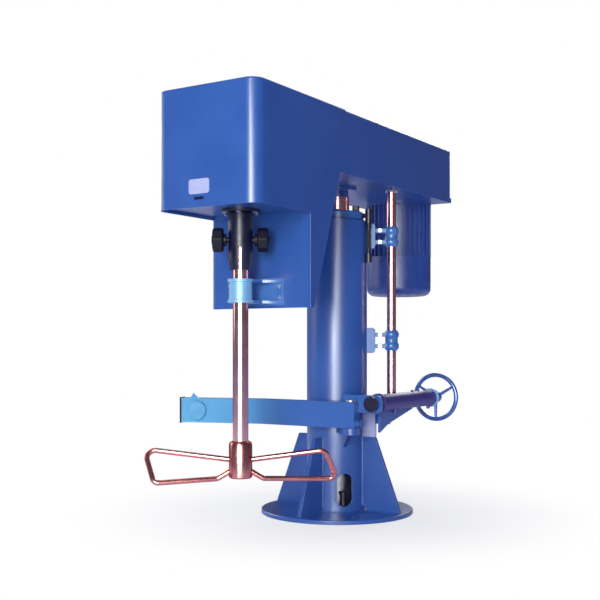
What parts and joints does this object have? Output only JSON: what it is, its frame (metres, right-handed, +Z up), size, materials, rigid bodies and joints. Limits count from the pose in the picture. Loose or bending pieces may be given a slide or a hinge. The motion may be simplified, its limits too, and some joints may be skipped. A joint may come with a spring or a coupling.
{
  "type": "tank agitator",
  "caption": "Floor-standing tank agitator: hydraulic lift column, belt-driven spindle head with a looped bar impeller, guide rod and a screw-closed tank clamp arm.",
  "frame": {"origin": "centre of the floor plate's underside, on the column's axis", "axes": "+Z up the column; -Y to the front, where the agitator shaft hangs; +X to the side with the guide rod and the handwheel"},
  "size_m": [1.1386, 1.9007, 1.87],
  "materials": {
    "blue_enamel": "glossy royal blue enamel with light orange peel",
    "light_blue_enamel": "glossy light blue enamel",
    "motor_enamel": "blue enamel on cast aluminium",
    "dark_blue_enamel": "satin dark purple-blue enamel",
    "pale_zinc": "pale satin plate",
    "polished_steel": "ground and polished steel",
    "bright_fasteners": "bright zinc plated steel",
    "black_steel": "satin blue-black",
    "black_plastic": "moulded black phenolic",
    "bronze": "machined bronze",
    "copper_steel": "ground steel with a copper tint",
    "plain_steel": "machined steel",
    "black_rubber": "black rubber",
    "pulley_iron": "machined cast iron",
    "wheel_steel": "pale steel-blue enamel over steel"
  },
  "bodies": {
    "base": {"base_plate": "blue_enamel", "base_gussets": "blue_enamel", "column_tube": "blue_enamel", "service_slot_rim": "light_blue_enamel", "gland_collar": "blue_enamel", "gland_bush": "bronze", "gland_screws": "bright_fasteners", "cylinder_barrel": "plain_steel", "cylinder_end_cap": "plain_steel", "cylinder_port_elbow": "black_steel", "hose_fittings": "black_steel", "hydraulic_hose": "black_rubber", "lower_rod_bracket": "blue_enamel", "upper_rod_bracket": "blue_enamel", "rod_bracket_bolts": "bright_fasteners", "clamp_lug": "pale_zinc", "screw_support_plate": "blue_enamel", "screw_tube": "dark_blue_enamel", "screw_tube_flange": "light_blue_enamel", "screw_bushes": "bronze", "arm_pivot_bracket": "blue_enamel", "arm_pivot_pin": "bright_fasteners"},
    "head": {"ram_tube": "polished_steel", "ram_piston": "plain_steel", "ram_neck": "blue_enamel", "housing_bolts": "bright_fasteners", "beam_plate": "blue_enamel", "front_housing": "blue_enamel", "front_floor": "blue_enamel", "hanging_plate": "blue_enamel", "belt_cover": "blue_enamel", "bearing_housing": "black_steel", "spindle_bearings": "plain_steel", "v_belts": "black_rubber", "motor_body": "motor_enamel", "motor_fan_cover": "motor_enamel", "motor_terminal_box": "motor_enamel", "guide_rod": "polished_steel", "guide_rod_nut": "bright_fasteners", "steady_housing": "light_blue_enamel", "steady_bush": "bronze", "steady_bracket": "blue_enamel", "steady_bolts": "bright_fasteners"},
    "spindle": {"drive_spindle": "polished_steel", "spindle_pulley": "pulley_iron", "coupling_sleeve": "black_steel", "agitator_shaft": "polished_steel", "impeller_hub": "copper_steel", "impeller_loop_right": "copper_steel", "impeller_loop_left": "copper_steel"},
    "knob_right": {"sleeve_knob_right": "black_plastic"},
    "knob_left": {"sleeve_knob_left": "black_plastic"},
    "motor_rotor": {"motor_rotor": "plain_steel", "motor_pulley": "pulley_iron"},
    "screw_nose": {"nose_nut": "black_steel"},
    "handwheel": {"clamp_screw": "polished_steel", "handwheel": "wheel_steel"},
    "clamp_arm": {"clamp_arm": "blue_enamel", "arm_end_plate": "black_steel", "clamp_pad": "black_rubber"}
  },
  "joints": [
    {"name": "head_lift", "type": "slide", "parent": "base", "child": "head", "axis": [0, 0, 1], "range_m": [0, 0.65]},
    {"name": "spindle_spin", "type": "hinge", "parent": "head", "child": "spindle", "pos_m": [0, -0.8023, 1.47], "axis": [0, 0, 1], "continuous": true},
    {"name": "knob_right_turn", "type": "hinge", "parent": "spindle", "child": "knob_right", "pos_m": [0, -0.8023, 1.262], "axis": [0.8423, 0.539, 0], "range_deg": [0, 720]},
    {"name": "knob_left_turn", "type": "hinge", "parent": "spindle", "child": "knob_left", "pos_m": [0, -0.8023, 1.262], "axis": [-0.8423, -0.539, 0], "range_deg": [0, 720]},
    {"name": "motor_spin", "type": "hinge", "parent": "head", "child": "motor_rotor", "pos_m": [0, 0.6656, 1.4], "axis": [0, 0, 1], "continuous": true},
    {"name": "clamp_arm_swing", "type": "hinge", "parent": "base", "child": "clamp_arm", "pos_m": [0.185, -0.188, 0.49], "axis": [0, 0, 1], "range_deg": [0, 8.18]},
    {"name": "clamp_screw_slide", "type": "slide", "parent": "base", "child": "screw_nose", "axis": [0, 1, 0], "range_m": [0, 0.015]},
    {"name": "handwheel_turn", "type": "hinge", "parent": "screw_nose", "child": "handwheel", "pos_m": [0.29, 0.516, 0.545], "axis": [0, -1, 0], "range_deg": [0, 900]}
  ],
  "couplings": [
    {"joint": "motor_spin", "follows": "spindle_spin", "ratio": 2.8},
    {"joint": "clamp_screw_slide", "follows": "clamp_arm_swing", "m_per_rad": 0.105},
    {"joint": "handwheel_turn", "follows": "clamp_arm_swing", "ratio": 109.96}
  ]
}
